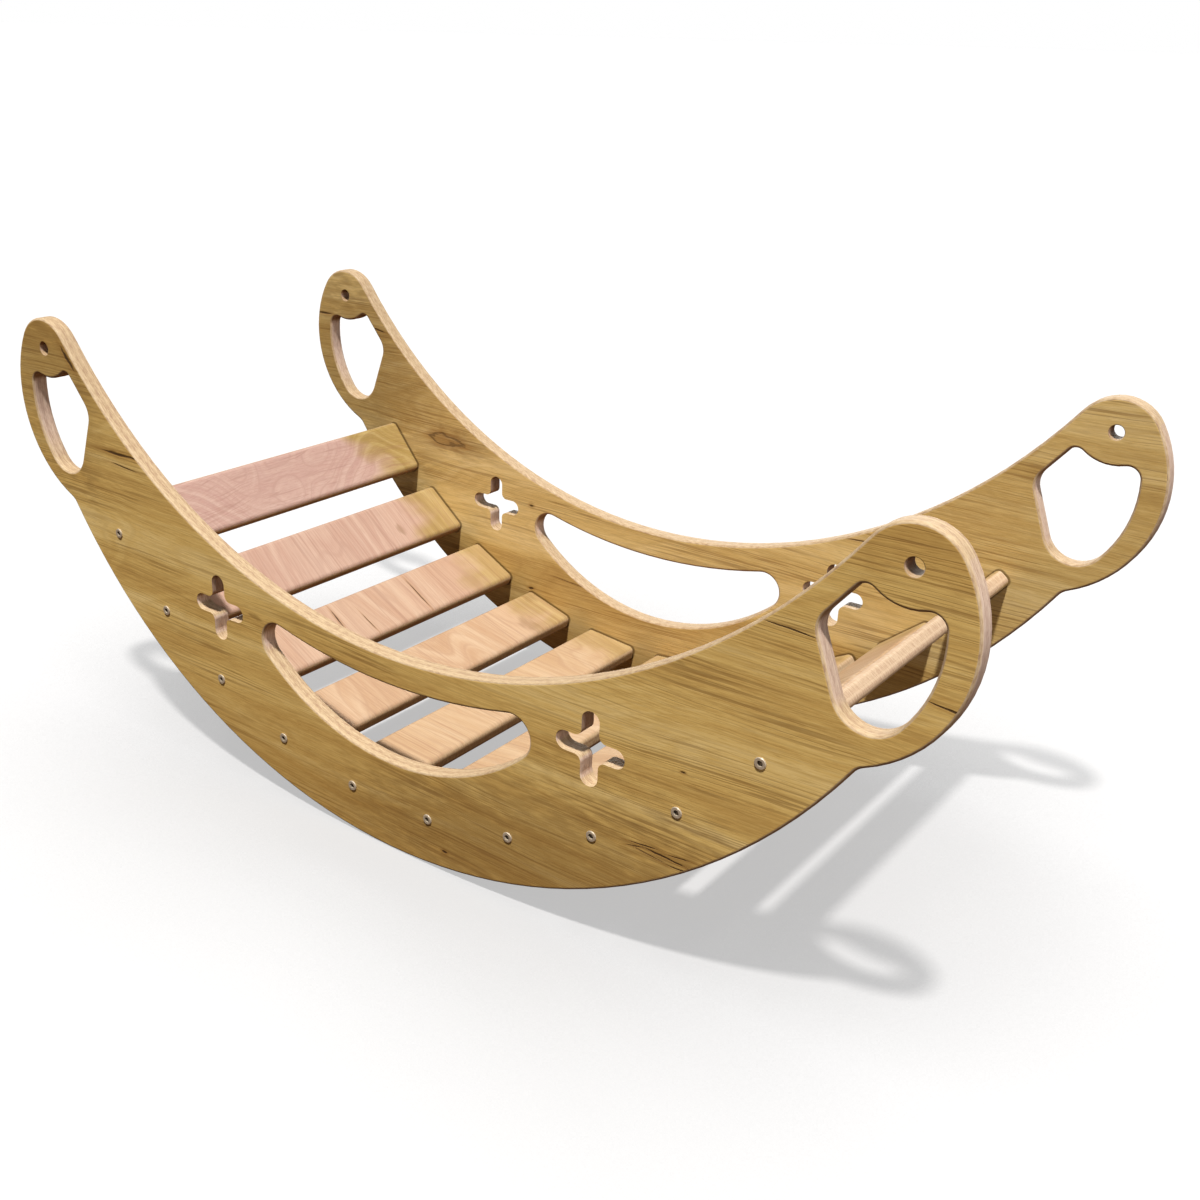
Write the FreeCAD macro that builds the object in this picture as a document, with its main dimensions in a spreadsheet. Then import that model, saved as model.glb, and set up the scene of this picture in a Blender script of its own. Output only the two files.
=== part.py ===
"""Crescent rocker for children: two moon-shaped side panels with flat slats screwed between them.

The origin is on the floor under the middle. +X runs along the rocker, the front panel is at -Y, and
+Z is up. All sizes are in millimetres and degrees.
"""

import FreeCAD
import Part

import math
import os

import Sketcher
from FreeCAD import Rotation, Vector

# Driving dimensions
SIZES = {
    "overall_length": 1105,
    "slat_length": 434,
    "panel_thickness": 18,
    "panel_edge_radius": 3,
    "waist_height": 211,
    "notch_inset": 77,
    "notch_height": 262,
    "notch_radius": 20,
    "cheek_radius": 120.5,
    "tip_radius": 42.3,
    "tip_rise": 42,
    "tip_hole_diameter": 14,
    "tip_hole_rise": 10,
    "tip_hole_edge": 1,
    "handle_rim": 25.8,
    "handle_width": 94,
    "handle_side_radius": 115,
    "handle_drop": 82,
    "handle_bottom_radius": 30,
    "handle_corner_radius": 20,
    "handle_corner_drop": 11,
    "handle_peak_radius": 9,
    "handle_peak_rise": 31,
    "handle_wave_radius": 45,
    "handle_wave_rise": 20,
    "handle_top_radius": 12,
    "crescent_gap": 30,
    "crescent_depth": 82.5,
    "crescent_radius": 245,
    "crescent_end_radius": 21,
    "star_gap": 29,
    "star_depth": 61.4,
    "star_reach": 36,
    "star_lobe_radius": 9.3,
    "star_root_radius": 7,
    "slat_count": 10,
    "slat_width": 69,
    "slat_thickness": 18,
    "slat_edge_radius": 6,
    "slat_inset": 50,
    "slat_end_margin": 26.4,
    "screw_length": 50,
    "screw_shank_diameter": 7,
    "screw_head_diameter": 10.5,
    "screw_head_proud": 1.2,
    "screw_head_bevel": 0.5,
    "screw_point_length": 4,
    "screw_point_radius": 1,
    "screw_socket_width": 5,
    "screw_socket_depth": 2.5,
    "screw_clearance": 0.1,
    "screw_end_gap": 1,
    "dowel_diameter": 8,
    "dowel_length": 36,
    "dowel_seat": 12,
    "dowel_offset": 20,
    "dowel_chamfer": 1,
    "dowel_clearance": 0.1,
    "dowel_end_gap": 1,
}

# Places worked out from the driving dimensions: heights are above the floor, angles in degrees
LAYOUT = {
    "half_width": "Sizes.slat_length / 2",
    "notch_x": "Sizes.overall_length / 2 - Sizes.notch_inset",
    "rocker_radius": "(notch_x ^ 2 + Sizes.notch_height ^ 2) / (2 * Sizes.notch_height)",
    "cheek_x": "Sizes.overall_length / 2 - Sizes.cheek_radius",
    "cheek_z": "Sizes.notch_height + sqrt(Sizes.cheek_radius ^ 2 - (notch_x - cheek_x) ^ 2)",
    "tip_x": "cheek_x + sqrt((Sizes.cheek_radius - Sizes.tip_radius) ^ 2 - Sizes.tip_rise ^ 2)",
    "tip_z": "cheek_z + Sizes.tip_rise",
    "tip_lift": "tip_z - Sizes.waist_height",
    "top_radius": "(tip_x ^ 2 + tip_lift ^ 2 - Sizes.tip_radius ^ 2) / (2 * (Sizes.tip_radius + tip_lift))",
    "top_centre_z": "Sizes.waist_height + top_radius",
    "tip_hole_z": "tip_z + Sizes.tip_hole_rise",
    "side_x": "Sizes.overall_length / 2 - Sizes.handle_rim - Sizes.handle_side_radius",
    "corner_x": "side_x + Sizes.handle_side_radius - Sizes.handle_width + Sizes.handle_corner_radius",
    "corner_z": "cheek_z - Sizes.handle_corner_drop",
    "bottom_z": "cheek_z - Sizes.handle_drop + Sizes.handle_bottom_radius",
    "peak_z": "cheek_z + Sizes.handle_peak_rise - Sizes.handle_peak_radius",
    "wave_z": "cheek_z + Sizes.handle_wave_rise + Sizes.handle_wave_radius",
    "crescent_top_z": "Sizes.waist_height - Sizes.crescent_gap",
    "crescent_top_radius": "top_radius + Sizes.crescent_gap",
    "crescent_low_z": "crescent_top_z - Sizes.crescent_depth",
    "crescent_low_centre_z": "crescent_low_z + Sizes.crescent_radius",
    "crescent_span": "top_centre_z - crescent_low_centre_z",
    "end_reach_top": "crescent_top_radius + Sizes.crescent_end_radius",
    "end_reach_low": "Sizes.crescent_radius - Sizes.crescent_end_radius",
    "end_fall": "(end_reach_top ^ 2 - end_reach_low ^ 2 + crescent_span ^ 2) / (2 * crescent_span)",
    "end_x": "sqrt(end_reach_top ^ 2 - end_fall ^ 2)",
    "end_z": "top_centre_z - end_fall",
    "star_x": "end_x + Sizes.crescent_end_radius + Sizes.star_gap + Sizes.star_reach",
    "star_z": "top_centre_z - sqrt((top_radius + Sizes.star_depth) ^ 2 - star_x ^ 2)",
    "lobe_reach": "Sizes.star_reach - Sizes.star_lobe_radius",
    "slat_radius": "rocker_radius - Sizes.slat_inset",
    "slat_end_radius": "Sizes.slat_edge_radius / 2",
    "last_slat_arc": "(Sizes.slat_end_margin + Sizes.slat_width / 2) / slat_radius * 180 / pi",
    "last_slat_angle": "asin(notch_x / rocker_radius) / 1 deg - last_slat_arc",
    "slat_pitch": "2 * last_slat_angle / (Sizes.slat_count - 1)",
    "screw_hole_radius": "Sizes.screw_shank_diameter / 2 + Sizes.screw_clearance",
    "screw_cone": "(Sizes.screw_head_diameter - Sizes.screw_shank_diameter) / 2",
    "screw_reach": "Sizes.screw_length - Sizes.screw_head_proud",
    "screw_bore_depth": "screw_reach - Sizes.panel_thickness + Sizes.screw_end_gap",
    "dowel_hole_radius": "Sizes.dowel_diameter / 2 + Sizes.dowel_clearance",
    "dowel_seat_depth": "Sizes.dowel_seat + Sizes.dowel_end_gap",
    "dowel_bore_depth": "Sizes.dowel_length - Sizes.dowel_seat + Sizes.dowel_end_gap",
    "dowel_shift": "Sizes.dowel_length / 2 - Sizes.dowel_seat",
}

START, END, CENTRE = range(1, 4)
ORIGIN = (-1, START)
NEAR = 1e-4

doc = FreeCAD.newDocument("ClimbingRocker")


# Sheet, layout and small helpers
def make_sheet():
    sheet = doc.addObject("Spreadsheet::Sheet", "Sizes")
    for row, (name, size) in enumerate(SIZES.items(), start=1):
        sheet.set(f"A{row}", name)
        sheet.set(f"B{row}", str(size))
        sheet.setAlias(f"B{row}", name)
    doc.recompute()
    return sheet


def make_layout():
    places = doc.addObject("App::VarSet", "Layout")
    for name, formula in LAYOUT.items():
        places.addProperty("App::PropertyFloat", name)
        places.setExpression(name, formula)
    doc.recompute()
    return places


sizes = make_sheet()
layout = make_layout()


def worth(formula):
    """The value of an expression such as Sizes.slat_width / 2."""
    return float(layout.evalExpression(formula))


def flat(x, z):
    """A point of a sketch."""
    return Vector(x, z, 0)


def toward(start, goal, distance):
    """The point at that distance from start, on the line to goal."""
    return start + (goal - start).normalize() * distance


def circles_meet(first, first_radius, second, second_radius):
    """The crossing of two circles that lies to the right of the line from the first centre to the second."""
    between = second - first
    gap = between.Length
    along = (first_radius**2 - second_radius**2 + gap**2) / (2 * gap)
    across = math.sqrt(first_radius**2 - along**2)
    right = Vector(between.y, -between.x, 0) / gap
    return first + between / gap * along + right * across


def outer_tangent(first, first_radius, second, second_radius):
    """Ends of the line that touches two circles on the right of the way from the first to the second."""
    between = second - first
    gap = between.Length
    lean = (first_radius - second_radius) / gap
    ahead = between / gap
    right = Vector(ahead.y, -ahead.x, 0)
    normal = ahead * lean + right * math.sqrt(1 - lean**2)
    return first + normal * first_radius, second + normal * second_radius


# Sketches
def new_body(label):
    body = doc.addObject("PartDesign::Body", label)
    body.Label = label
    return body


def origin_part(body, role):
    """One of the body's own planes and axes through its origin."""
    return next(item for item in body.Origin.OriginFeatures if item.Role == role)


def new_sketch(body, name, role="XZ_Plane"):
    sketch = body.newObject("Sketcher::SketchObject", name)
    sketch.AttachmentSupport = [(origin_part(body, role), "")]
    sketch.MapMode = "FlatFace"
    return sketch


def bind(sketch, kind, *place, formula):
    """A dimension that follows an expression."""
    index = sketch.addConstraint(Sketcher.Constraint(kind, *place, worth(formula)))
    sketch.setExpression(f"Constraints[{index}]", formula)


def locate(sketch, piece, point, x, z):
    bind(sketch, "DistanceX", *ORIGIN, piece, point, formula=x)
    bind(sketch, "DistanceY", *ORIGIN, piece, point, formula=z)


def join(sketch, kind, *ends):
    sketch.addConstraint(Sketcher.Constraint(kind, *ends))


def add_arc(sketch, centre, start, end):
    """An arc that turns to the left from start to end."""
    radius = (start - centre).Length
    first = math.atan2(start.y - centre.y, start.x - centre.x)
    last = math.atan2(end.y - centre.y, end.x - centre.x)
    if last < first:
        last += 2 * math.pi
    circle = Part.Circle(centre, Vector(0, 0, 1), radius)
    return sketch.addGeometry(Part.ArcOfCircle(circle, first, last))


def add_line(sketch, start, end):
    return sketch.addGeometry(Part.LineSegment(start, end))


def add_circle(sketch, x, z, radius):
    """A full circle whose centre and radius follow expressions."""
    centre = flat(worth(x), worth(z))
    piece = sketch.addGeometry(Part.Circle(centre, Vector(0, 0, 1), worth(radius)))
    locate(sketch, piece, CENTRE, x, z)
    bind(sketch, "Radius", piece, formula=radius)


def on_middle(sketch, piece, *points):
    for point in points:
        join(sketch, "Vertical", piece, point, *ORIGIN)


# Features
def pad(body, sketch, length, symmetric=False):
    feature = body.newObject("PartDesign::Pad", sketch.Name + "_pad")
    feature.Profile = sketch
    feature.setExpression("Length", length)
    if symmetric:
        feature.SideType = "Symmetric"
    sketch.Visibility = False
    doc.recompute([body])


def pocket(body, sketch, depth=None, backward=False):
    """A cut from the sketch along its normal, or against it; through everything if no depth is given."""
    before = body.Shape.Volume
    feature = body.newObject("PartDesign::Pocket", sketch.Name + "_cut")
    feature.Profile = sketch
    feature.Reversed = not backward
    if depth:
        feature.setExpression("Length", depth)
    else:
        feature.Type = "ThroughAll"
    sketch.Visibility = False
    doc.recompute([body])
    if body.Shape.Volume > before - NEAR:
        raise RuntimeError(f"{feature.Name} cuts nothing")
    return feature


def mirror(body, name, role):
    """A mirror image of the whole body, joined to it."""
    feature = body.newObject("PartDesign::Mirrored", name)
    feature.MirrorPlane = (origin_part(body, role), [""])
    feature.TransformMode = "Whole shape"
    body.Tip = feature
    doc.recompute([body])


def fan(body, name, originals, axis, angle, count):
    """Copies of the features, spread evenly over an angle about an axis."""
    feature = body.newObject("PartDesign::PolarPattern", name)
    feature.Originals = originals
    feature.Axis = axis
    feature.setExpression("Angle", angle)
    feature.setExpression("Occurrences", count)
    body.Tip = feature
    doc.recompute([body])


def dress(body, kind, name, size, wanted):
    """A fillet or chamfer on every edge that the wanted test picks."""
    edges = [f"Edge{i}" for i, edge in enumerate(body.Shape.Edges, start=1) if wanted(edge)]
    base = body.Tip
    feature = body.newObject("PartDesign::" + kind, name)
    feature.Base = (base, edges)
    feature.setExpression("Radius" if kind == "Fillet" else "Size", size)
    body.Tip = feature
    doc.recompute([body])


def samples(edge):
    """An edge's start, middle and end."""
    first, last = edge.ParameterRange
    return [edge.valueAt(place) for place in (first, (first + last) / 2, last)]


def along_y(edge):
    start, _, end = samples(edge)
    return abs(start.y - end.y) > NEAR and math.hypot(start.x - end.x, start.z - end.z) < NEAR


def at_depth(edge, depth):
    return all(abs(point.y - depth) < NEAR for point in samples(edge))


def is_round(edge, radius):
    return edge.Closed and edge.Curve.TypeId == "Part::GeomCircle" and abs(edge.Curve.Radius - radius) < NEAR


def near_point(edge, x, z, reach):
    middle = edge.BoundBox.Center
    return math.hypot(abs(middle.x) - x, middle.z - z) < reach


# Side panel: half of it is drawn at x above 0, and then mirrored
def outline_sketch(body):
    """Rocker edge, cheek, tip and top edge of one half, closed along the middle."""
    sketch = new_sketch(body, "outline")
    rocker_centre = flat(0, layout.rocker_radius)
    notch = flat(layout.notch_x, sizes.notch_height)
    cheek_centre = flat(layout.cheek_x, layout.cheek_z)
    tip_centre = flat(layout.tip_x, layout.tip_z)
    top_centre = flat(0, layout.top_centre_z)
    waist = flat(0, sizes.waist_height)
    cheek_end = toward(cheek_centre, tip_centre, sizes.cheek_radius)
    tip_end = toward(tip_centre, top_centre, sizes.tip_radius)

    rocker = add_arc(sketch, rocker_centre, flat(0, 0), notch)
    cheek = add_arc(sketch, cheek_centre, notch, cheek_end)
    tip = add_arc(sketch, tip_centre, cheek_end, tip_end)
    top = add_arc(sketch, top_centre, waist, tip_end)
    middle = add_line(sketch, waist, flat(0, 0))

    join(sketch, "Coincident", rocker, START, *ORIGIN)
    join(sketch, "Coincident", middle, END, *ORIGIN)
    join(sketch, "Coincident", rocker, END, cheek, START)
    join(sketch, "Tangent", cheek, END, tip, START)
    join(sketch, "Tangent", tip, END, top, END)
    join(sketch, "Coincident", top, START, middle, START)
    on_middle(sketch, rocker, CENTRE)
    on_middle(sketch, top, START, CENTRE)
    locate(sketch, rocker, END, "Layout.notch_x", "Sizes.notch_height")
    bind(sketch, "Radius", cheek, formula="Sizes.cheek_radius")
    bind(sketch, "DistanceX", *ORIGIN, cheek, CENTRE, formula="Layout.cheek_x")
    bind(sketch, "Radius", tip, formula="Sizes.tip_radius")
    bind(sketch, "DistanceY", cheek, CENTRE, tip, CENTRE, formula="Sizes.tip_rise")
    bind(sketch, "DistanceY", *ORIGIN, top, START, formula="Sizes.waist_height")
    return sketch


def handle_sketch(body):
    """Hand hole: round bottom, outer side, wavy top with one peak, and a blunt inner corner."""
    sketch = new_sketch(body, "handle")
    side_centre = flat(layout.side_x, layout.cheek_z)
    bottom_fall = layout.cheek_z - layout.bottom_z
    bottom_reach = sizes.handle_side_radius - sizes.handle_bottom_radius
    bottom_centre = flat(layout.side_x + math.sqrt(bottom_reach**2 - bottom_fall**2), layout.bottom_z)
    wave_centre = flat(layout.tip_x, layout.wave_z)
    peak_fall = layout.wave_z - layout.peak_z
    peak_reach = sizes.handle_wave_radius + sizes.handle_peak_radius
    peak_centre = flat(layout.tip_x - math.sqrt(peak_reach**2 - peak_fall**2), layout.peak_z)
    corner_centre = flat(layout.corner_x, layout.corner_z)
    top_centre = circles_meet(
        side_centre,
        sizes.handle_side_radius - sizes.handle_top_radius,
        wave_centre,
        sizes.handle_wave_radius + sizes.handle_top_radius,
    )

    bottom_end = toward(side_centre, bottom_centre, sizes.handle_side_radius)
    side_end = toward(side_centre, top_centre, sizes.handle_side_radius)
    top_end = toward(wave_centre, top_centre, sizes.handle_wave_radius)
    wave_end = toward(wave_centre, peak_centre, sizes.handle_wave_radius)
    slope_start, slope_end = outer_tangent(
        peak_centre, sizes.handle_peak_radius, corner_centre, sizes.handle_corner_radius
    )
    flank_start, flank_end = outer_tangent(
        corner_centre, sizes.handle_corner_radius, bottom_centre, sizes.handle_bottom_radius
    )

    bottom = add_arc(sketch, bottom_centre, flank_end, bottom_end)
    side = add_arc(sketch, side_centre, bottom_end, side_end)
    top = add_arc(sketch, top_centre, side_end, top_end)
    wave = add_arc(sketch, wave_centre, wave_end, top_end)
    peak = add_arc(sketch, peak_centre, wave_end, slope_start)
    slope = add_line(sketch, slope_start, slope_end)
    corner = add_arc(sketch, corner_centre, slope_end, flank_start)
    flank = add_line(sketch, flank_start, flank_end)

    join(sketch, "Tangent", bottom, END, side, START)
    join(sketch, "Tangent", side, END, top, START)
    join(sketch, "Tangent", top, END, wave, END)
    join(sketch, "Tangent", wave, START, peak, START)
    join(sketch, "Tangent", peak, END, slope, START)
    join(sketch, "Tangent", slope, END, corner, START)
    join(sketch, "Tangent", corner, END, flank, START)
    join(sketch, "Tangent", flank, END, bottom, START)
    locate(sketch, side, CENTRE, "Layout.side_x", "Layout.cheek_z")
    locate(sketch, wave, CENTRE, "Layout.tip_x", "Layout.wave_z")
    locate(sketch, corner, CENTRE, "Layout.corner_x", "Layout.corner_z")
    bind(sketch, "DistanceY", *ORIGIN, bottom, CENTRE, formula="Layout.bottom_z")
    bind(sketch, "DistanceY", *ORIGIN, peak, CENTRE, formula="Layout.peak_z")
    for piece, name in ((side, "side"), (bottom, "bottom"), (top, "top"), (wave, "wave"), (peak, "peak"),
                        (corner, "corner")):
        bind(sketch, "Radius", piece, formula=f"Sizes.handle_{name}_radius")
    return sketch


def crescent_sketch(body):
    """Half of the crescent, whose upper side runs level with the panel's top edge."""
    sketch = new_sketch(body, "crescent")
    top_centre = flat(0, layout.top_centre_z)
    low_centre = flat(0, layout.crescent_low_centre_z)
    end_centre = flat(layout.end_x, layout.end_z)
    top_middle = flat(0, layout.crescent_top_z)
    low_middle = flat(0, layout.crescent_low_z)
    top_end = toward(top_centre, end_centre, layout.crescent_top_radius)
    low_end = toward(low_centre, end_centre, sizes.crescent_radius)

    low = add_arc(sketch, low_centre, low_middle, low_end)
    tip = add_arc(sketch, end_centre, low_end, top_end)
    top = add_arc(sketch, top_centre, top_middle, top_end)
    middle = add_line(sketch, top_middle, low_middle)

    join(sketch, "Tangent", low, END, tip, START)
    join(sketch, "Tangent", tip, END, top, END)
    join(sketch, "Coincident", top, START, middle, START)
    join(sketch, "Coincident", low, START, middle, END)
    on_middle(sketch, low, START, CENTRE)
    on_middle(sketch, top, START, CENTRE)
    bind(sketch, "DistanceY", *ORIGIN, top, START, formula="Layout.crescent_top_z")
    bind(sketch, "DistanceY", *ORIGIN, low, START, formula="Layout.crescent_low_z")
    bind(sketch, "Radius", top, formula="Layout.crescent_top_radius")
    bind(sketch, "Radius", low, formula="Sizes.crescent_radius")
    bind(sketch, "Radius", tip, formula="Sizes.crescent_end_radius")
    return sketch


def slot_sketch(body, name, upright):
    """One of the star's two crossing slots: two lobes opposite each other."""
    sketch = new_sketch(body, name)
    centre = flat(layout.star_x, layout.star_z)
    ahead = flat(0, 1) if upright else flat(1, 0)
    left = Vector(-ahead.y, ahead.x, 0) * sizes.star_lobe_radius
    far = centre + ahead * layout.lobe_reach
    near = centre - ahead * layout.lobe_reach

    far_lobe = add_arc(sketch, far, far - left, far + left)
    left_side = add_line(sketch, far + left, near + left)
    near_lobe = add_arc(sketch, near, near + left, near - left)
    right_side = add_line(sketch, near - left, far - left)

    join(sketch, "Tangent", far_lobe, END, left_side, START)
    join(sketch, "Tangent", left_side, END, near_lobe, START)
    join(sketch, "Tangent", near_lobe, END, right_side, START)
    join(sketch, "Tangent", right_side, END, far_lobe, START)
    for lobe, sign in ((far_lobe, "+"), (near_lobe, "-")):
        across = f"Layout.star_x {sign} {int(ahead.x)} * Layout.lobe_reach"
        upward = f"Layout.star_z {sign} {int(ahead.y)} * Layout.lobe_reach"
        locate(sketch, lobe, CENTRE, across, upward)
        bind(sketch, "Radius", lobe, formula="Sizes.star_lobe_radius")
    return sketch


def hole_sketch(body, name, shift, radius):
    """First slat's hole, drawn about the rocker's centre; shift is its offset along the slat's width."""
    sketch = new_sketch(body, name)
    sketch.setExpression("AttachmentOffset.Base.y", "Layout.rocker_radius")
    angle = "(-Layout.last_slat_angle)"
    across = f"Layout.slat_radius * sin{angle} + {shift} * cos{angle}"
    upward = f"{shift} * sin{angle} - Layout.slat_radius * cos{angle}"
    add_circle(sketch, across, upward, radius)
    return sketch


def make_panel(label):
    """A panel whose inner face is at y = 0 and whose outer face is at minus its thickness."""
    body = new_body(label)
    pad(body, outline_sketch(body), "Sizes.panel_thickness")
    pocket(body, handle_sketch(body))
    pocket(body, crescent_sketch(body))
    pocket(body, slot_sketch(body, "star_upright", True))
    pocket(body, slot_sketch(body, "star_level", False))
    tip_hole = new_sketch(body, "tip_hole")
    add_circle(tip_hole, "Layout.tip_x", "Layout.tip_hole_z", "Sizes.tip_hole_diameter / 2")
    pocket(body, tip_hole)
    mirror(body, "other_half", "YZ_Plane")
    round_panel(body)
    drill_panel(body)
    return body


def round_panel(body):
    """Rounded corners and edges."""
    outer_face = -sizes.panel_thickness
    star = (layout.star_x, layout.star_z, sizes.star_reach)
    tip_hole_radius = sizes.tip_hole_diameter / 2

    def on_face(edge):
        return at_depth(edge, 0) or at_depth(edge, outer_face)

    def notch_edge(edge):
        return along_y(edge) and near_point(edge, layout.notch_x, sizes.notch_height, NEAR)

    def star_corner(edge):
        side = sizes.star_lobe_radius
        corners = [(layout.star_x + i * side, layout.star_z + j * side) for i in (-1, 1) for j in (-1, 1)]
        return along_y(edge) and any(near_point(edge, x, z, NEAR) for x, z in corners)

    def rim_edge(edge):
        return on_face(edge) and not is_round(edge, tip_hole_radius) and not near_point(edge, *star)

    def tip_hole_edge(edge):
        return on_face(edge) and is_round(edge, tip_hole_radius)

    dress(body, "Fillet", "notch_round", "Sizes.notch_radius", notch_edge)
    dress(body, "Fillet", "star_roots", "Sizes.star_root_radius", star_corner)
    dress(body, "Fillet", "rim_round", "Sizes.panel_edge_radius", rim_edge)
    dress(body, "Fillet", "tip_hole_round", "Sizes.tip_hole_edge", tip_hole_edge)


def drill_panel(body):
    """Countersunk screw holes and blind dowel holes, a pair for each slat."""
    outer_face = -sizes.panel_thickness
    screw_sketch = hole_sketch(body, "screw_hole", "0", "Layout.screw_hole_radius")
    dowel_sketch = hole_sketch(body, "dowel_hole", "Sizes.dowel_offset", "Layout.dowel_hole_radius")
    drilled = [pocket(body, screw_sketch), pocket(body, dowel_sketch, "Layout.dowel_seat_depth")]
    rocker_axis = (screw_sketch, ["N_Axis"])
    fan(body, "slat_holes", drilled, rocker_axis, "2 * Layout.last_slat_angle", "Sizes.slat_count")

    def screw_hole_edge(edge):
        return at_depth(edge, outer_face) and is_round(edge, layout.screw_hole_radius)

    dress(body, "Chamfer", "countersinks", "Layout.screw_cone", screw_hole_edge)


# Slat: its length runs along Y, its width along X, and its middle is at the origin
def make_slat(label):
    """A slat with a screw bore and a dowel bore in each end, the same when it is turned end for end."""
    body = new_body(label)
    section = new_sketch(body, "section")
    across, up = "Sizes.slat_width / 2", "Sizes.slat_thickness / 2"
    signs = (("-", "-"), ("", "-"), ("", ""), ("-", ""))
    closed_outline(section, [(first + across, second + up) for first, second in signs])
    pad(body, section, "Sizes.slat_length", symmetric=True)
    dress(body, "Fillet", "long_edges", "Sizes.slat_edge_radius", along_y)

    def end_edge(edge):
        return any(at_depth(edge, end) for end in (-layout.half_width, layout.half_width))

    dress(body, "Fillet", "end_edges", "Layout.slat_end_radius", end_edge)
    bores = [end_bore(body, "screw", "0"), end_bore(body, "dowel", "Sizes.dowel_offset")]
    fan(body, "other_end", bores, (origin_part(body, "Z_Axis"), [""]), "360", "2")
    return body


def end_bore(body, kind, across):
    """A blind hole in the slat's front end for its screw or its dowel."""
    sketch = new_sketch(body, kind + "_bore")
    sketch.setExpression("AttachmentOffset.Base.z", "Layout.half_width")
    add_circle(sketch, across, "0", f"Layout.{kind}_hole_radius")
    return pocket(body, sketch, f"Layout.{kind}_bore_depth", backward=True)


# Screw: its axis is Y, its head's seat is at y = 0 and it points along +Y
def make_screw(label):
    body = new_body(label)
    profile = new_sketch(body, "profile", "XY_Plane")
    corners = (
        ("0", "-Sizes.screw_head_proud"),
        ("Sizes.screw_head_diameter / 2 - Sizes.screw_head_bevel", "-Sizes.screw_head_proud"),
        ("Sizes.screw_head_diameter / 2", "Sizes.screw_head_bevel - Sizes.screw_head_proud"),
        ("Sizes.screw_head_diameter / 2", "0"),
        ("Sizes.screw_shank_diameter / 2", "Layout.screw_cone"),
        ("Sizes.screw_shank_diameter / 2", "Layout.screw_reach - Sizes.screw_point_length"),
        ("Sizes.screw_point_radius", "Layout.screw_reach"),
        ("0", "Layout.screw_reach"),
    )
    closed_outline(profile, corners)
    turn(body, profile)
    socket = new_sketch(body, "socket")
    socket.setExpression("AttachmentOffset.Base.z", "Sizes.screw_head_proud")
    hexagon(socket, "Sizes.screw_socket_width / 2")
    pocket(body, socket, "Sizes.screw_socket_depth", backward=True)
    return body


def closed_outline(sketch, corners):
    """Straight sides between corners that follow expressions."""
    points = [flat(worth(across), worth(up)) for across, up in corners]
    sides = [add_line(sketch, start, end) for start, end in zip(points, points[1:] + points[:1])]
    for side, following in zip(sides, sides[1:] + sides[:1]):
        join(sketch, "Coincident", side, END, following, START)
    for side, (across, up) in zip(sides, corners):
        locate(sketch, side, START, across, up)


def turn(body, profile):
    feature = body.newObject("PartDesign::Revolution", profile.Name + "_turned")
    feature.Profile = profile
    feature.ReferenceAxis = (profile, ["V_Axis"])
    profile.Visibility = False
    doc.recompute([body])


def hexagon(sketch, half_width):
    """A regular hexagon about the origin, with that half width across its flats."""
    reach = f"{half_width} / cos(30)"
    angles = range(0, 360, 60)
    closed_outline(sketch, [(f"{reach} * cos({angle})", f"{reach} * sin({angle})") for angle in angles])


# Dowel: its axis is Y and its middle is at the origin
def make_dowel(label):
    body = new_body(label)
    section = new_sketch(body, "section")
    add_circle(section, "0", "0", "Sizes.dowel_diameter / 2")
    pad(body, section, "Sizes.dowel_length", symmetric=True)

    def end_edge(edge):
        return is_round(edge, sizes.dowel_diameter / 2)

    dress(body, "Chamfer", "ends", "Sizes.dowel_chamfer", end_edge)
    return body


# Placing
HALF_TURN = Rotation(Vector(0, 0, 1), 180)
FRONT, BACK = -1, 1


def place(body, x, y, z):
    for axis, formula in zip("xyz", (x, y, z)):
        body.setExpression(f"Placement.Base.{axis}", formula)


def face_back(body, side):
    """Turns a piece made for the front round to the back."""
    if side == BACK:
        body.Placement.Rotation = HALF_TURN


def on_arc(index, shift):
    """Where a slat's middle is, moved by shift along its width."""
    angle = f"(({index} - (Sizes.slat_count - 1) / 2) * Layout.slat_pitch)"
    x = f"Layout.slat_radius * sin({angle}) + {shift} * cos({angle})"
    z = f"Layout.rocker_radius - Layout.slat_radius * cos({angle}) + {shift} * sin({angle})"
    return angle, x, z


def build_panels():
    panels = []
    for side, name in ((FRONT, "front"), (BACK, "back")):
        panel = make_panel(f"side_panel_{name}")
        face_back(panel, side)
        place(panel, "0", f"{side} * Layout.half_width", "0")
        panels.append(panel)
    return panels


def build_slat(index):
    """One slat with the screw and the dowel at each of its ends."""
    number = f"{index + 1:02d}"
    slat = make_slat(f"slat_{number}")
    angle, x, z = on_arc(index, "0")
    slat.Placement.Rotation = Rotation(Vector(0, -1, 0), worth(angle))
    slat.setExpression("Placement.Rotation.Angle", angle)
    place(slat, x, "0", z)
    pieces = [slat]
    for side, name in ((FRONT, "front"), (BACK, "back")):
        screw = make_screw(f"screw_{name}_{number}")
        face_back(screw, side)
        place(screw, x, f"{side} * (Layout.half_width + Sizes.panel_thickness)", z)
        dowel = make_dowel(f"dowel_{name}_{number}")
        dowel_x, dowel_z = on_arc(index, f"({-side} * Sizes.dowel_offset)")[1:]
        place(dowel, dowel_x, f"{side} * (Layout.half_width - Layout.dowel_shift)", dowel_z)
        pieces += [screw, dowel]
    return pieces


def check(pieces):
    doc.recompute()
    for item in doc.Objects:
        if "Invalid" in item.State or "Error" in item.State:
            raise RuntimeError(f"{item.Label} failed: {item.State}")
    for piece in pieces:
        if piece.Shape.isNull() or not piece.Shape.isValid():
            raise RuntimeError(f"{piece.Label} has no valid shape")
        if len(piece.Shape.Solids) != 1:
            raise RuntimeError(f"{piece.Label} is not one solid")


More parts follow.
